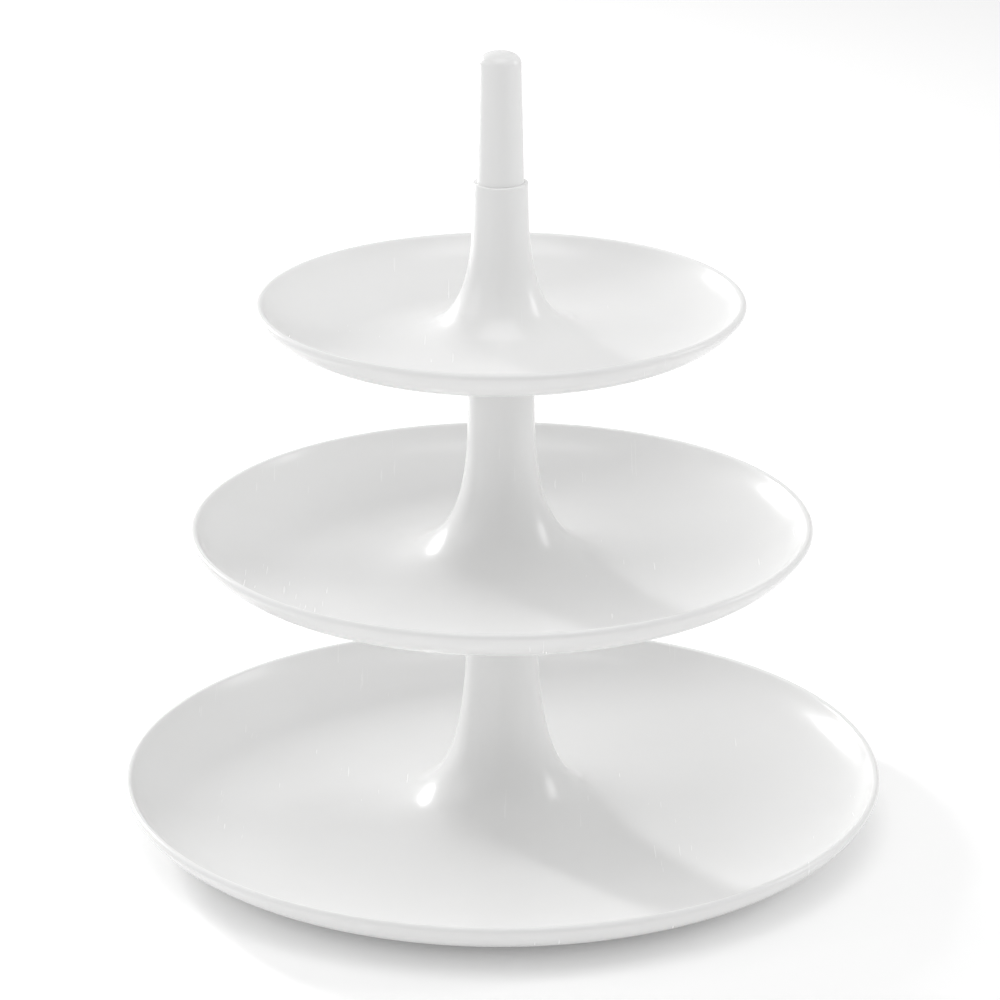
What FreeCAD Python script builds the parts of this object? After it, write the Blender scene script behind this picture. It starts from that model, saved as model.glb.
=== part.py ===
import FreeCAD
import Part
import math
import os

# A cake stand of three round plastic tiers that stack on one another.
# Each tier is one moulding: a shallow dish whose centre rises in a trumpet-shaped flare into a hollow stem.
# The middle tier slips over the bottom tier's stem and rests on its ledge.
# The top tier, whose stem is open at the mouth, slips over the middle tier's stem in the same way.
# The middle tier's stem passes up through that mouth and ends in a domed tip.
# Every surface is turned about the Z axis, and Z = 0 is the table.
# All sizes are in millimetres.

# Overall sizes
bottom_diameter = 312.0
middle_diameter = 252.4
top_diameter = 195.6
bottom_to_middle_rim = 108.2
middle_to_top_rim = 93.9
top_rim_to_tip = 102.7

# Walls and edges
dish_wall = 2.2
stem_wall = 2.4
socket_wall = 1.45
lip_radius = 1.6
rim_slope = 60.0
mouth_rounding = 0.5

# Foot ring under the bottom dish
foot_height = 0.8
foot_width = 4.0

# Stems and seats: every stem and every bore narrows upwards at the same rate
stem_taper = 0.0225
tip_radius = 8.3
tip_dome_height = 4.8
dome_fullness = 0.62  # 0.55 would be a plain ellipse
seat_clearance = 0.05
seat_length = 45.0
top_ledge_width = 2.0
bottom_ledge_width = 1.1
seat_end_rounding = 1.5

# Heights above a tier's own rim
mouth_above_rim = 50.0
middle_ledge_above_rim = 14.0
top_ledge_above_rim = 5.0

# Dishes and flares. A dish's valley is its lowest circle, depth is measured down to it from the rim,
# and flare_rise is how far above the rim the flare runs out into the stem.
bottom_depth = 17.0
bottom_valley_radius = 88.0
bottom_flare_rise = 65.0
middle_depth = 16.5
middle_valley_radius = 75.0
middle_flare_rise = 40.0
top_depth = 13.5
top_valley_radius = 58.0
top_flare_rise = 38.0

# Fullness of the curves: how far a flare keeps to the stem's line (pull) and to the valley's level (spread),
# and how far a dish's wall keeps to the slope of its rim
bottom_flare_pull = 80.0
bottom_flare_spread = 55.0
bottom_wall_curve = 20.5
middle_flare_pull = 55.0
middle_flare_spread = 34.5
middle_wall_curve = 15.8
top_flare_pull = 45.5
top_flare_spread = 33.0
top_wall_curve = 12.0

# Share of the floor, from the valley to the rim, that stays nearly level
floor_level_share = 0.4

# How finely the inside of a flare is followed
inside_point_count = 16


class Dish:
    """The dish and flare of one tier, and the radius of the stem that the flare runs into."""

    def __init__(self, diameter, rim_height, depth, valley_radius, flare_rise, flare_pull, flare_spread,
                 wall_curve, stem_radius_at):
        self.rim_radius = diameter / 2.0
        self.rim_height = rim_height
        self.valley_radius = valley_radius
        self.valley_height = rim_height - depth
        self.flare_top = rim_height + flare_rise
        self.flare_pull = flare_pull
        self.flare_spread = flare_spread
        self.wall_curve = wall_curve
        self.stem_radius_at = stem_radius_at


def point(radius, height):
    return FreeCAD.Vector(radius, 0.0, height)


def line(start, end):
    return Part.LineSegment(start, end).toShape()


def bezier(poles):
    curve = Part.BezierCurve()
    curve.setPoles(poles)
    return curve


def turned(edges):
    """The solid made by turning a closed outline about the Z axis."""
    face = Part.Face(Part.Wire(edges))
    solid = face.revolve(FreeCAD.Vector(0, 0, 0), FreeCAD.Vector(0, 0, 1), 360.0)
    return solid


# Heights of the rims, the ledges, the mouth and the tip
bottom_rim_height = bottom_depth + dish_wall + foot_height
middle_rim_height = bottom_rim_height + bottom_to_middle_rim
top_rim_height = middle_rim_height + middle_to_top_rim
tip_height = top_rim_height + top_rim_to_tip
middle_ledge_height = middle_rim_height + middle_ledge_above_rim
top_ledge_height = top_rim_height + top_ledge_above_rim
mouth_height = top_rim_height + mouth_above_rim
dome_base_height = tip_height - tip_dome_height


# Radii of the stems and bores at a height, from the spire outwards
def spire_radius(height):
    return tip_radius + stem_taper * (dome_base_height - height)


def top_bore_radius(height):
    return spire_radius(height) + seat_clearance


def top_stem_radius(height):
    return top_bore_radius(height) + socket_wall


def middle_stem_radius(height):
    return spire_radius(height) + top_ledge_width


def middle_bore_radius(height):
    return middle_stem_radius(height) - stem_wall


def bottom_seat_radius(height):
    return middle_bore_radius(height) - seat_clearance


def bottom_stem_radius(height):
    return bottom_seat_radius(height) + bottom_ledge_width


bottom_dish = Dish(bottom_diameter, bottom_rim_height, bottom_depth, bottom_valley_radius, bottom_flare_rise,
                   bottom_flare_pull, bottom_flare_spread, bottom_wall_curve, bottom_stem_radius)
middle_dish = Dish(middle_diameter, middle_rim_height, middle_depth, middle_valley_radius, middle_flare_rise,
                   middle_flare_pull, middle_flare_spread, middle_wall_curve, middle_stem_radius)
top_dish = Dish(top_diameter, top_rim_height, top_depth, top_valley_radius, top_flare_rise,
                top_flare_pull, top_flare_spread, top_wall_curve, top_stem_radius)


def flare_curve(dish):
    """Visible curve of the flare, from the stem down and out to the valley, the dish's lowest circle."""
    top_radius = dish.stem_radius_at(dish.flare_top)
    drop = dish.flare_pull
    return bezier([
        point(top_radius, dish.flare_top),
        point(top_radius + stem_taper * drop, dish.flare_top - drop),
        point(dish.valley_radius - dish.flare_spread, dish.valley_height),
        point(dish.valley_radius, dish.valley_height),
    ])


def inside_point(curve, parameter):
    """The point one wall thickness behind a flare curve, on the side of the axis and the table."""
    along = curve.tangent(parameter)[0]
    behind = FreeCAD.Vector(along.z, 0.0, -along.x)
    return curve.value(parameter) + behind * dish_wall


def parameter_at_height(curve, height):
    """Where the inside of a flare curve passes a height, found by halving the interval."""
    upper = curve.FirstParameter
    lower = curve.LastParameter
    for _ in range(40):
        middle = (upper + lower) / 2.0
        if inside_point(curve, middle).z > height:
            upper = middle
        else:
            lower = middle
    return lower


def flare_inside(dish, highest):
    """Inside of the flare, from the valley in and up to a height."""
    curve = flare_curve(dish)
    first = curve.LastParameter
    last = parameter_at_height(curve, highest)
    steps = inside_point_count - 1
    parameters = [first + (last - first) * step / steps for step in range(inside_point_count)]
    inside = Part.BSplineCurve()
    inside.interpolate(
        Points=[inside_point(curve, parameter) for parameter in parameters],
        InitialTangent=-curve.tangent(first)[0],
        FinalTangent=-curve.tangent(last)[0],
    )
    return inside


def dish_wall_curve(dish, depth_in_wall, lip_angle):
    """Floor and wall of the dish, from the valley to the point on the round lip at an angle."""
    slope = math.radians(rim_slope)
    lip_point = point_on_lip(dish, lip_angle)
    wall_pole = lip_point - point(math.cos(slope), math.sin(slope)) * dish.wall_curve
    floor_height = dish.valley_height - depth_in_wall
    level_end = dish.valley_radius + floor_level_share * (lip_point.x - dish.valley_radius)
    return bezier([
        point(dish.valley_radius, floor_height),
        point(level_end, floor_height),
        wall_pole,
        lip_point,
    ])


def point_on_lip(dish, degrees):
    angle = math.radians(degrees)
    centre = point(dish.rim_radius - lip_radius, dish.rim_height)
    return centre + point(math.cos(angle), math.sin(angle)) * lip_radius


def skin_edges(dish, inside):
    """Outline of the moulding from the flare's top over the lip and back under to the top of its inside."""
    upper_angle = 90.0 + rim_slope
    under_angle = rim_slope - 90.0
    lip = Part.Arc(
        point_on_lip(dish, upper_angle),
        point_on_lip(dish, rim_slope),
        point_on_lip(dish, under_angle),
    )
    curves = [
        flare_curve(dish),
        dish_wall_curve(dish, 0.0, upper_angle),
        lip,
        dish_wall_curve(dish, dish_wall, under_angle),
        inside,
    ]
    return [curve.toShape() for curve in curves]


def rounded_end(radius, height, rounding):
    """Quarter arc from the side of a stem at a radius up to its flat end at a height."""
    inset = rounding * (1.0 - math.sqrt(0.5))
    return Part.Arc(
        point(radius, height - rounding),
        point(radius - inset, height - inset),
        point(radius - rounding, height),
    )


def path(points):
    return [line(start, end) for start, end in zip(points, points[1:])]


def make_bottom_tier():
    """Dish, flare and a stem with a closed top, whose upper part is the middle tier's seat."""
    dish = bottom_dish
    ledge = middle_ledge_height
    top = ledge + seat_length
    inside = flare_inside(dish, dish.flare_top)
    shoulder = ledge - stem_wall
    hollow_top = top - stem_wall
    end = rounded_end(bottom_seat_radius(top), top, seat_end_rounding)
    hollow = path([
        inside.EndPoint,
        point(bottom_stem_radius(shoulder) - stem_wall, shoulder),
        point(bottom_seat_radius(shoulder) - stem_wall, shoulder),
        point(bottom_seat_radius(hollow_top) - stem_wall, hollow_top),
        point(0.0, hollow_top),
        point(0.0, top),
        end.EndPoint,
    ])
    side = path([
        end.StartPoint,
        point(bottom_seat_radius(ledge), ledge),
        point(bottom_stem_radius(ledge), ledge),
        point(bottom_stem_radius(dish.flare_top), dish.flare_top),
    ])
    moulding = turned([*skin_edges(dish, inside), *hollow, end.toShape(), *side])
    return moulding.fuse(make_foot(dish))


def make_foot(dish):
    """Ring under the lowest circle of the bottom dish, which stands on the table."""
    inner = dish.valley_radius - foot_width / 2.0
    outer = dish.valley_radius + foot_width / 2.0
    buried_top = foot_height + dish_wall / 2.0
    corners = [point(inner, 0.0), point(outer, 0.0), point(outer, buried_top), point(inner, buried_top)]
    return turned(path([*corners, corners[0]]))


def make_middle_tier():
    """Dish, flare and a long stem that carries the top tier and ends in the domed tip."""
    dish = middle_dish
    socket_end = middle_ledge_height
    ledge = top_ledge_height
    shoulder = ledge - stem_wall
    hollow_top = dome_base_height - stem_wall
    inside = flare_inside(dish, socket_end)
    hollow = path([
        inside.EndPoint,
        point(middle_bore_radius(socket_end), socket_end),
        point(middle_bore_radius(shoulder), shoulder),
        point(spire_radius(shoulder) - stem_wall, shoulder),
        point(spire_radius(hollow_top) - stem_wall, hollow_top),
        point(0.0, hollow_top),
        point(0.0, tip_height),
    ])
    dome = bezier([
        point(0.0, tip_height),
        point(tip_radius * dome_fullness, tip_height),
        point(tip_radius - stem_taper * tip_dome_height, dome_base_height + tip_dome_height * dome_fullness),
        point(tip_radius, dome_base_height),
    ])
    side = path([
        dome.EndPoint,
        point(spire_radius(ledge), ledge),
        point(middle_stem_radius(ledge), ledge),
        point(middle_stem_radius(dish.flare_top), dish.flare_top),
    ])
    return turned([*skin_edges(dish, inside), *hollow, dome.toShape(), *side])


def make_top_tier():
    """Dish, flare and a short stem that is open at its mouth, with the seat for the spire inside."""
    dish = top_dish
    socket_end = top_ledge_height
    side_top = mouth_height - mouth_rounding
    inside = flare_inside(dish, socket_end)
    end = rounded_end(top_stem_radius(side_top), mouth_height, mouth_rounding)
    bore = path([
        inside.EndPoint,
        point(top_bore_radius(socket_end), socket_end),
        point(top_bore_radius(mouth_height), mouth_height),
        end.EndPoint,
    ])
    side = path([
        end.StartPoint,
        point(top_stem_radius(dish.flare_top), dish.flare_top),
    ])
    return turned([*skin_edges(dish, inside), *bore, end.toShape(), *side])


tiers = {
    "bottom_tier": make_bottom_tier(),
    "middle_tier": make_middle_tier(),
    "top_tier": make_top_tier(),
}

os.makedirs("parts", exist_ok=True)
for name, shape in tiers.items():
    solid = shape.Solids[0]
    box = solid.BoundBox
    print(name, "valid", solid.isValid(), "solids", len(shape.Solids), "volume", round(solid.Volume),
          "heights", round(box.ZMin, 2), round(box.ZMax, 2), "width", round(box.XLength, 2))
    solid.exportStep("parts/" + name + ".step")
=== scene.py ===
import math

import bpy
from mathutils import Euler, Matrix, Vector


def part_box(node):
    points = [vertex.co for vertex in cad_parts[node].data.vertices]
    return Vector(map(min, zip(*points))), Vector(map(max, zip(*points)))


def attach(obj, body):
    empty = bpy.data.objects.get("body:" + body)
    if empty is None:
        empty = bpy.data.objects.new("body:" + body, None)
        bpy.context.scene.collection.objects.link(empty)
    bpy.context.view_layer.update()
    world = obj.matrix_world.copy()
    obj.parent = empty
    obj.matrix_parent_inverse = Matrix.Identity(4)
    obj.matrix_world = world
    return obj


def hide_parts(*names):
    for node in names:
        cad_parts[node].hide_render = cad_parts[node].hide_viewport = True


# A cake stand of three round plastic tiers. Each tier is a closed lathe around the Z axis, in metres,
# and stands for the CAD node of the same tier.

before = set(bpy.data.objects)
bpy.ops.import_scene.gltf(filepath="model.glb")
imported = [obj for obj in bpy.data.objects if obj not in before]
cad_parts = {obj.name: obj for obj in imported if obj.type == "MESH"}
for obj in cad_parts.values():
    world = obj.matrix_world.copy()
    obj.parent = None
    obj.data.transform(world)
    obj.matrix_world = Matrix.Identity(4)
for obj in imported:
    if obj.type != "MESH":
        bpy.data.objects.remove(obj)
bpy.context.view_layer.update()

MM = 0.001

# Walls, edges and seats, as in the CAD design
DISH_WALL = 2.2 * MM
STEM_WALL = 2.4 * MM
SOCKET_WALL = 1.45 * MM
LIP_RADIUS = 1.6 * MM
RIM_SLOPE = math.radians(60.0)
MOUTH_ROUNDING = 0.5 * MM
SEAT_END_ROUNDING = 1.5 * MM
FOOT_HEIGHT = 0.8 * MM
FOOT_WIDTH = 4.0 * MM
STEM_TAPER = 0.0225
TIP_RADIUS = 8.3 * MM
TIP_DOME_HEIGHT = 4.8 * MM
DOME_FULLNESS = 0.62  # 0.55 would be a plain ellipse
SEAT_CLEARANCE = 0.05 * MM
TOP_LEDGE_WIDTH = 2.0 * MM
BOTTOM_LEDGE_WIDTH = 1.1 * MM
MIDDLE_LEDGE_ABOVE_RIM = 14.0 * MM
TOP_LEDGE_ABOVE_RIM = 5.0 * MM
FLOOR_LEVEL_SHARE = 0.4

# Fineness of the lathes
SEGMENTS = 256
FLARE_STEPS = 48
WALL_STEPS = 36
LIP_STEPS = 14
ROUNDING_STEPS = 5
DOME_STEPS = 16
STEM_STEPS = 10
SHARP_ANGLE = math.radians(28.0)
SAME_PLACE = 0.01 * MM  # points nearer to each other or to the axis than this are taken as one
LAST_STEP_INSIDE = 0.5 * MM  # the inside of a flare has no point closer than this under its end

# Plastic: colours, gloss, relief, and textures, whose scales are per metre.
# A range is the part of a noise's output over which a mark goes from none to full.
DARKER_WHITE = (0.845, 0.845, 0.84, 1.0)
LIGHTER_WHITE = (0.875, 0.875, 0.872, 1.0)
REFRACTION = 1.5
GLOSSIEST = 0.19
DULLEST = 0.26
SCUFF_DULLING = 0.14
SINK_STRENGTH = 0.12
SINK_DEPTH = 0.6 * MM
PEEL_STRENGTH = 0.10
PEEL_DEPTH = 0.06 * MM
SCUFF_STRENGTH = 0.15
SCUFF_DEPTH = 0.03 * MM
FLOW_SCALE = 14.0
HAZE_SCALE = 38.0
HAZE_RANGE = (0.3, 0.7)
SINK_SCALE = 26.0
PEEL_SCALE = 420.0
SCUFF_PATCH_SCALE = 22.0
SCUFF_PATCH_RANGE = (0.5, 0.68)
HAIR_SCALES = (900.0, 34.0, 34.0)
HAIR_TURN = (0.2, 0.1, 0.7)
HAIR_RANGE = (0.68, 0.74)

# Floor and surround
WHITE = (1.0, 1.0, 1.0, 1.0)
FLOOR_COLOR = (0.88, 0.88, 0.88, 1.0)
FLOOR_HALF_WIDTH = 6.0
FLOOR_ROUGHNESS = 0.9
FLOOR_SPECULAR = 0.1
FLOOR_GLOW = 0.17
GLOW_STARTS = 0.10
GLOW_IS_FULL = 0.15
WORLD_FRONT = 0.47
WORLD_BACK = 0.7

# Camera, at the photo's viewing angle
CAMERA_PLACE = (-0.0006, -1.5826, 0.7088)
CAMERA_PITCH = math.radians(19.81)
CAMERA_ROLL = -0.003
CAMERA_LENS = 149.4
CAMERA_SENSOR = 36.0
CAMERA_REACH = 50.0

# Softboxes: bearing in degrees from +X, height angle in degrees, distance, width, height, power
AIM_HEIGHT = 0.15
KEY = (129.0, 15.0, 1.8, 0.14, 0.45, 18.0)
TOP_CARD = (270.0, 76.0, 1.6, 1.2, 1.2, 7.8)
LEFT_CARD = (190.0, 25.0, 1.6, 0.8, 0.8, 2.1)
RIGHT_CARD = (8.0, 22.0, 1.6, 0.35, 0.6, 3.2)


def new_object(name, data):
    item = bpy.data.objects.new(name, data)
    bpy.context.scene.collection.objects.link(item)
    return item


# Tiers

class Tier:
    """One tier: its heights and rim radius, worked out from its CAD box, and how its flare and wall curve."""

    def __init__(self, node, depth, below_valley, valley_radius, flare_rise, flare_pull, flare_spread,
                 wall_curve):
        low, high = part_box(node)
        self.node = node
        self.rim_radius = high.x
        self.top = high.z
        self.valley_height = low.z + below_valley
        self.rim_height = self.valley_height + depth
        self.valley_radius = valley_radius
        self.flare_top = self.rim_height + flare_rise
        self.flare_pull = flare_pull
        self.flare_spread = flare_spread
        self.wall_curve = wall_curve


bottom = Tier(
    "bottom_tier", depth=17.0 * MM, below_valley=DISH_WALL + FOOT_HEIGHT, valley_radius=88.0 * MM,
    flare_rise=65.0 * MM, flare_pull=80.0 * MM, flare_spread=55.0 * MM, wall_curve=20.5 * MM,
)
middle = Tier(
    "middle_tier", depth=16.5 * MM, below_valley=DISH_WALL, valley_radius=75.0 * MM,
    flare_rise=40.0 * MM, flare_pull=55.0 * MM, flare_spread=34.5 * MM, wall_curve=15.8 * MM,
)
top = Tier(
    "top_tier", depth=13.5 * MM, below_valley=DISH_WALL, valley_radius=58.0 * MM,
    flare_rise=38.0 * MM, flare_pull=45.5 * MM, flare_spread=33.0 * MM, wall_curve=12.0 * MM,
)

tip_height = middle.top
dome_base = tip_height - TIP_DOME_HEIGHT
middle_ledge = middle.rim_height + MIDDLE_LEDGE_ABOVE_RIM
top_ledge = top.rim_height + TOP_LEDGE_ABOVE_RIM


# Radii of the stems and bores at a height, from the spire outwards

def spire_radius(height):
    return TIP_RADIUS + STEM_TAPER * (dome_base - height)


def top_bore_radius(height):
    return spire_radius(height) + SEAT_CLEARANCE


def top_stem_radius(height):
    return top_bore_radius(height) + SOCKET_WALL


def middle_stem_radius(height):
    return spire_radius(height) + TOP_LEDGE_WIDTH


def middle_bore_radius(height):
    return middle_stem_radius(height) - STEM_WALL


def bottom_seat_radius(height):
    return middle_bore_radius(height) - SEAT_CLEARANCE


def bottom_stem_radius(height):
    return bottom_seat_radius(height) + BOTTOM_LEDGE_WIDTH


# Outlines: lists of points, each a radius and a height

def bezier_points(poles, steps):
    """Points and directions along a cubic Bezier curve, both ends included."""
    a, b, c, d = [Vector(pole) for pole in poles]
    points = []
    for step in range(steps + 1):
        t = step / steps
        s = 1.0 - t
        place = a * s**3 + b * 3 * s * s * t + c * 3 * s * t * t + d * t**3
        direction = ((b - a) * s * s + (c - b) * 2 * s * t + (d - c) * t * t).normalized()
        points.append((place, direction))
    return points


def arc_points(centre, radius, start, end, steps):
    """Points along an arc between two angles, both ends included."""
    angles = [start + (end - start) * step / steps for step in range(steps + 1)]
    return [centre + Vector((math.cos(angle), math.sin(angle))) * radius for angle in angles]


def straight_points(start, end, steps=STEM_STEPS):
    """Points along a straight stretch, both ends included."""
    return [Vector(start).lerp(Vector(end), step / steps) for step in range(steps + 1)]


def flare(tier, stem_radius):
    """Points and directions along the visible flare, from the stem down and out to the valley."""
    start = stem_radius(tier.flare_top)
    return bezier_points([
        (start, tier.flare_top),
        (start + STEM_TAPER * tier.flare_pull, tier.flare_top - tier.flare_pull),
        (tier.valley_radius - tier.flare_spread, tier.valley_height),
        (tier.valley_radius, tier.valley_height),
    ], FLARE_STEPS)


def wall(tier, depth_in_wall, lip_angle):
    """Points along the floor and wall, from the valley to a point on the round lip."""
    lip_point = lip_centre(tier) + Vector((math.cos(lip_angle), math.sin(lip_angle))) * LIP_RADIUS
    pole = lip_point - Vector((math.cos(RIM_SLOPE), math.sin(RIM_SLOPE))) * tier.wall_curve
    floor = tier.valley_height - depth_in_wall
    level_end = tier.valley_radius + FLOOR_LEVEL_SHARE * (lip_point.x - tier.valley_radius)
    poles = [(tier.valley_radius, floor), (level_end, floor), pole, lip_point]
    return [place for place, _ in bezier_points(poles, WALL_STEPS)]


def lip_centre(tier):
    return Vector((tier.rim_radius - LIP_RADIUS, tier.rim_height))


def skin(tier, stem_radius, highest_inside):
    """Outline from the top of the flare over the lip and back under, up to a height inside the flare."""
    outside = flare(tier, stem_radius)
    upper_angle = math.pi / 2 + RIM_SLOPE
    under_angle = RIM_SLOPE - math.pi / 2
    lip = arc_points(lip_centre(tier), LIP_RADIUS, upper_angle, under_angle, LIP_STEPS)
    under = wall(tier, DISH_WALL, under_angle)
    inside = [place + Vector((way.y, -way.x)) * DISH_WALL for place, way in reversed(outside)]
    kept = [place for place in inside if place.y < highest_inside - LAST_STEP_INSIDE]
    last, beyond = kept[-1], inside[len(kept)]
    share = (highest_inside - last.y) / (beyond.y - last.y)
    kept.append(last.lerp(beyond, min(share, 1.0)))
    return [place for place, _ in outside] + wall(tier, 0.0, upper_angle) + lip + under[::-1] + kept


def with_foot(points):
    """The bottom tier's outline with the foot ring let in at the lowest circle of its underside."""
    under = bottom.valley_height - DISH_WALL
    outer = bottom.valley_radius + FOOT_WIDTH / 2
    inner = bottom.valley_radius - FOOT_WIDTH / 2
    covered = [
        index for index, place in enumerate(points)
        if inner <= place.x <= outer and place.y < bottom.valley_height - DISH_WALL / 2
    ]
    foot = [Vector((outer, under)), Vector((outer, 0.0)), Vector((inner, 0.0)), Vector((inner, under))]
    return points[:covered[0]] + foot + points[covered[-1] + 1:]


def bottom_outline():
    seat_top = bottom_seat_radius(bottom.top)
    hollow_top = bottom.top - STEM_WALL
    shoulder = middle_ledge - STEM_WALL
    points = with_foot(skin(bottom, bottom_stem_radius, bottom.flare_top))
    points += straight_points(points[-1], (bottom_stem_radius(shoulder) - STEM_WALL, shoulder))
    points += straight_points((bottom_seat_radius(shoulder) - STEM_WALL, shoulder),
                              (bottom_seat_radius(hollow_top) - STEM_WALL, hollow_top))
    points += [Vector((0.0, hollow_top)), Vector((0.0, bottom.top))]
    points += arc_points(Vector((seat_top - SEAT_END_ROUNDING, bottom.top - SEAT_END_ROUNDING)),
                         SEAT_END_ROUNDING, math.pi / 2, 0.0, ROUNDING_STEPS)
    points += straight_points(points[-1], (bottom_seat_radius(middle_ledge), middle_ledge))
    points += straight_points((bottom_stem_radius(middle_ledge), middle_ledge),
                              (bottom_stem_radius(bottom.flare_top), bottom.flare_top))
    return points


def middle_outline():
    hollow_top = dome_base - STEM_WALL
    shoulder = top_ledge - STEM_WALL
    points = skin(middle, middle_stem_radius, middle_ledge)
    points += straight_points((middle_bore_radius(middle_ledge), middle_ledge),
                              (middle_bore_radius(shoulder), shoulder))
    points += straight_points((spire_radius(shoulder) - STEM_WALL, shoulder),
                              (spire_radius(hollow_top) - STEM_WALL, hollow_top))
    points += [Vector((0.0, hollow_top))]
    dome = bezier_points([
        (0.0, tip_height),
        (TIP_RADIUS * DOME_FULLNESS, tip_height),
        (TIP_RADIUS - STEM_TAPER * TIP_DOME_HEIGHT, dome_base + TIP_DOME_HEIGHT * DOME_FULLNESS),
        (TIP_RADIUS, dome_base),
    ], DOME_STEPS)
    points += [place for place, _ in dome]
    points += straight_points(points[-1], (spire_radius(top_ledge), top_ledge))
    points += straight_points((middle_stem_radius(top_ledge), top_ledge),
                              (middle_stem_radius(middle.flare_top), middle.flare_top))
    return points


def top_outline():
    side_top = top.top - MOUTH_ROUNDING
    mouth_outside = top_stem_radius(side_top)
    points = skin(top, top_stem_radius, top_ledge)
    points += straight_points((top_bore_radius(top_ledge), top_ledge), (top_bore_radius(top.top), top.top))
    points += arc_points(Vector((mouth_outside - MOUTH_ROUNDING, side_top)),
                         MOUTH_ROUNDING, math.pi / 2, 0.0, ROUNDING_STEPS)
    points += straight_points(points[-1], (top_stem_radius(top.flare_top), top.flare_top))
    return points


def lathe(name, outline):
    """A closed mesh made by turning a closed outline about the Z axis. A point on the axis is one vertex."""
    turned = []
    for place in outline:
        if not turned or (place - turned[-1]).length > SAME_PLACE:
            turned.append(place)
    if (turned[0] - turned[-1]).length < SAME_PLACE:
        turned.pop()
    vertices = []
    rings = []
    for place in turned:
        if place.x < SAME_PLACE:
            rings.append([len(vertices)] * SEGMENTS)
            vertices.append((0.0, 0.0, place.y))
            continue
        rings.append(list(range(len(vertices), len(vertices) + SEGMENTS)))
        for segment in range(SEGMENTS):
            angle = 2.0 * math.pi * segment / SEGMENTS
            vertices.append((place.x * math.cos(angle), place.x * math.sin(angle), place.y))
    faces = []
    for ring, after in zip(rings, rings[1:] + rings[:1]):
        if ring[0] == ring[1] and after[0] == after[1]:
            continue
        for segment in range(SEGMENTS):
            following = (segment + 1) % SEGMENTS
            corners = [ring[segment], ring[following], after[following], after[segment]]
            faces.append(tuple(dict.fromkeys(corners)))
    mesh = bpy.data.meshes.new(name)
    mesh.from_pydata(vertices, [], faces)
    mesh.update()
    mesh.shade_smooth()
    mesh.set_sharp_from_angle(angle=SHARP_ANGLE)
    return new_object(name, mesh)


# Materials

def new_material(name):
    """A material, its node tree and its shader."""
    material = bpy.data.materials.new(name)
    material.use_nodes = True
    return material, material.node_tree, material.node_tree.nodes["Principled BSDF"]


def add_node(tree, kind, **inputs):
    node = tree.nodes.new(kind)
    for name, value in inputs.items():
        node.inputs[name.replace("_", " ")].default_value = value
    return node


def link(tree, source, output, target, socket):
    tree.links.new(source.outputs[output], target.inputs[socket])


def ramp(tree, source, output, low, high, low_value, high_value):
    """Maps a range of a node's output onto a range of values, held at both ends."""
    node = add_node(tree, "ShaderNodeMapRange",
                    From_Min=low, From_Max=high, To_Min=low_value, To_Max=high_value)
    link(tree, source, output, node, "Value")
    return node


def noise(tree, source, output, **inputs):
    node = add_node(tree, "ShaderNodeTexNoise", **inputs)
    link(tree, source, output, node, "Vector")
    return node


def relief(tree, source, output, strength, depth, over=None, sunken=False):
    """A bump that follows a node's output and lies over another bump, if there is one."""
    node = add_node(tree, "ShaderNodeBump", Strength=strength, Distance=depth)
    node.invert = sunken
    link(tree, source, output, node, "Height")
    if over:
        link(tree, over, "Normal", node, "Normal")
    return node


def gloss_plastic(name):
    """White moulded gloss plastic: faint flow marks, orange peel and hairline scuffs from use."""
    material, tree, shader = new_material(name)
    shader.inputs["IOR"].default_value = REFRACTION
    place = tree.nodes.new("ShaderNodeTexCoord")

    # Colour: a slightly uneven white, as where pigment flowed into the mould
    flow = noise(tree, place, "Object", Scale=FLOW_SCALE, Detail=3.0, Roughness=0.55, Distortion=0.6)
    tint = tree.nodes.new("ShaderNodeMix")
    tint.data_type = "RGBA"
    tint.inputs["A"].default_value = DARKER_WHITE
    tint.inputs["B"].default_value = LIGHTER_WHITE
    link(tree, flow, "Fac", tint, "Factor")
    link(tree, tint, "Result", shader, "Base Color")

    # Hairline scuffs: thin stretched noise, kept only where a slow noise lets them be
    stretch = add_node(tree, "ShaderNodeMapping", Scale=HAIR_SCALES, Rotation=HAIR_TURN)
    link(tree, place, "Object", stretch, "Vector")
    hairs = noise(tree, stretch, "Vector", Scale=1.0, Detail=2.0)
    hair = ramp(tree, hairs, "Fac", *HAIR_RANGE, 0.0, 1.0)
    patches = noise(tree, place, "Object", Scale=SCUFF_PATCH_SCALE, Detail=2.0)
    patch = ramp(tree, patches, "Fac", *SCUFF_PATCH_RANGE, 0.0, 1.0)
    scuff = tree.nodes.new("ShaderNodeMath")
    scuff.operation = "MULTIPLY"
    link(tree, hair, "Result", scuff, 0)
    link(tree, patch, "Result", scuff, 1)

    # Gloss: a little uneven, duller along the scuffs
    haze = noise(tree, place, "Object", Scale=HAZE_SCALE, Detail=4.0, Roughness=0.6)
    gloss = ramp(tree, haze, "Fac", *HAZE_RANGE, GLOSSIEST, DULLEST)
    dull = tree.nodes.new("ShaderNodeMath")
    dull.operation = "MULTIPLY_ADD"
    dull.inputs[1].default_value = SCUFF_DULLING
    link(tree, scuff, "Value", dull, 0)
    link(tree, gloss, "Result", dull, 2)
    link(tree, dull, "Value", shader, "Roughness")

    # Relief: slow sink marks, fine orange peel and the scuffs
    peel = noise(tree, place, "Object", Scale=PEEL_SCALE, Detail=2.0)
    sink = noise(tree, place, "Object", Scale=SINK_SCALE, Detail=1.0)
    sinks = relief(tree, sink, "Fac", SINK_STRENGTH, SINK_DEPTH)
    peeled = relief(tree, peel, "Fac", PEEL_STRENGTH, PEEL_DEPTH, over=sinks)
    scuffed = relief(tree, scuff, "Value", SCUFF_STRENGTH, SCUFF_DEPTH, over=peeled, sunken=True)
    link(tree, scuffed, "Normal", shader, "Normal")
    return material


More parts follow.
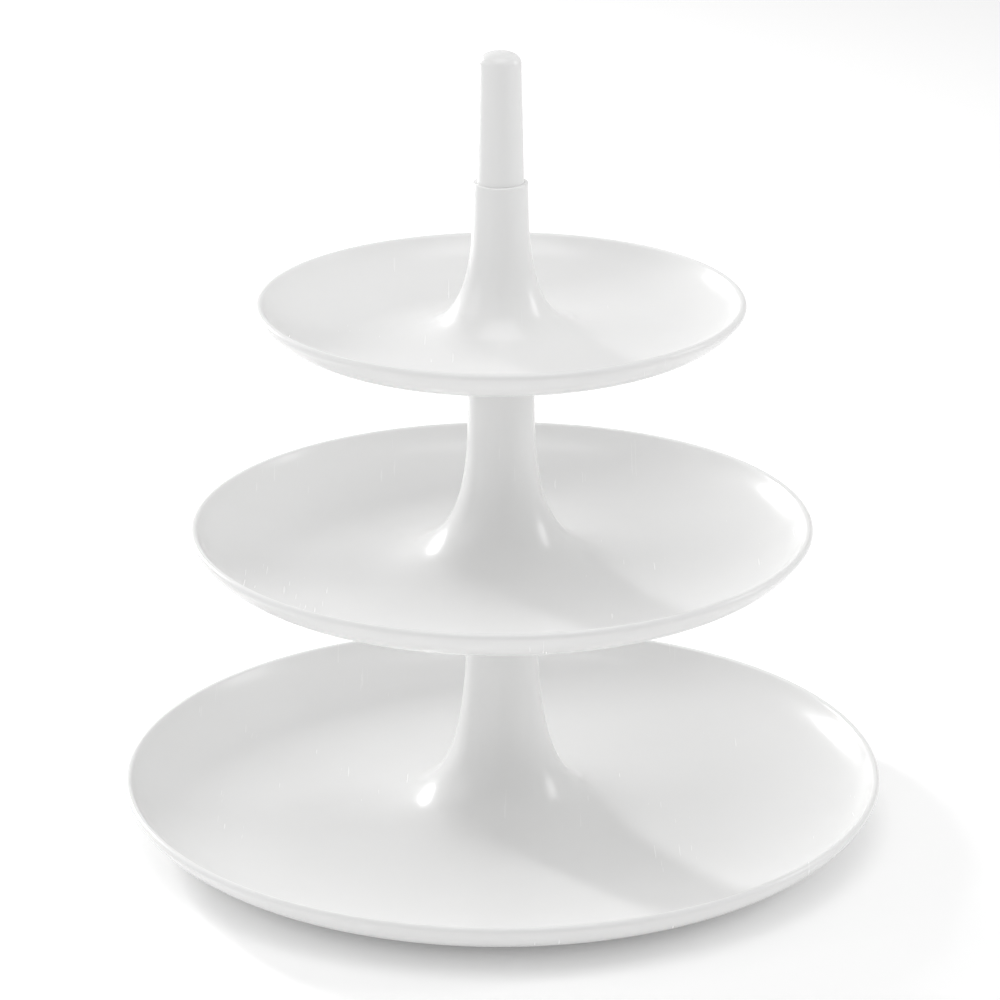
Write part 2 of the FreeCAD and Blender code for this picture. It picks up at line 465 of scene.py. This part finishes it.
def pale_floor():
    """A white floor that glows softly, except near the axis, so that the shadow under the stand stays."""
    material, tree, shader = new_material("pale_floor")
    shader.inputs["Base Color"].default_value = FLOOR_COLOR
    shader.inputs["Roughness"].default_value = FLOOR_ROUGHNESS
    shader.inputs["Specular IOR Level"].default_value = FLOOR_SPECULAR
    shader.inputs["Emission Color"].default_value = WHITE
    place = tree.nodes.new("ShaderNodeTexCoord")
    distance = tree.nodes.new("ShaderNodeVectorMath")
    distance.operation = "LENGTH"
    link(tree, place, "Object", distance, "Vector")
    glow = ramp(tree, distance, "Value", GLOW_STARTS, GLOW_IS_FULL, 0.0, FLOOR_GLOW)
    glow.interpolation_type = "SMOOTHSTEP"
    link(tree, glow, "Result", shader, "Emission Strength")
    return material


# Studio

def make_floor():
    mesh = bpy.data.meshes.new("floor")
    half = FLOOR_HALF_WIDTH
    corners = [(-half, -half, 0.0), (half, -half, 0.0), (half, half, 0.0), (-half, half, 0.0)]
    mesh.from_pydata(corners, [], [(0, 1, 2, 3)])
    mesh.materials.append(pale_floor())
    new_object("floor", mesh)


def make_softbox(name, bearing, rise, distance, width, height, power):
    """A rectangular lamp that faces the stand from a bearing and a height angle in degrees."""
    bearing, rise = math.radians(bearing), math.radians(rise)
    away = Vector((math.cos(rise) * math.cos(bearing), math.cos(rise) * math.sin(bearing), math.sin(rise)))
    lamp = bpy.data.lights.new(name, "AREA")
    lamp.shape = "RECTANGLE"
    lamp.size = width
    lamp.size_y = height
    lamp.energy = power
    box = new_object(name, lamp)
    box.location = Vector((0.0, 0.0, AIM_HEIGHT)) + away * distance
    box.visible_camera = False
    box.rotation_euler = (-away).to_track_quat("-Z", "Y").to_euler()


def make_world():
    """A white surround, brighter behind the stand than in front of it."""
    world = bpy.data.worlds.new("studio")
    world.use_nodes = True
    tree = world.node_tree
    background = tree.nodes["Background"]
    background.inputs["Color"].default_value = WHITE
    place = tree.nodes.new("ShaderNodeTexCoord")
    direction = tree.nodes.new("ShaderNodeSeparateXYZ")
    link(tree, place, "Generated", direction, "Vector")
    glow = ramp(tree, direction, "Y", -1.0, 1.0, WORLD_FRONT, WORLD_BACK)
    link(tree, glow, "Result", background, "Strength")
    bpy.context.scene.world = world


def make_camera():
    data = bpy.data.cameras.new("camera")
    data.lens = CAMERA_LENS
    data.sensor_width = CAMERA_SENSOR
    data.clip_end = CAMERA_REACH
    camera = new_object("camera", data)
    camera.location = CAMERA_PLACE
    camera.rotation_mode = "XYZ"
    pitched = Euler((math.pi / 2 - CAMERA_PITCH, 0.0, 0.0)).to_matrix()
    rolled = Euler((0.0, 0.0, CAMERA_ROLL)).to_matrix()
    camera.rotation_euler = (pitched @ rolled).to_euler()
    bpy.context.scene.camera = camera


# Scene

bpy.context.scene.view_settings.view_transform = "Standard"
make_camera()
make_world()
make_floor()
make_softbox("key", *KEY)
make_softbox("top_card", *TOP_CARD)
make_softbox("left_card", *LEFT_CARD)
make_softbox("right_card", *RIGHT_CARD)

plastic = gloss_plastic("gloss_white_plastic")
for tier, outline in ((bottom, bottom_outline()), (middle, middle_outline()), (top, top_outline())):
    piece = lathe(tier.node.replace("tier", "moulding"), outline)
    piece.data.materials.append(plastic)
    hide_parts(tier.node)
    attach(piece, tier.node)
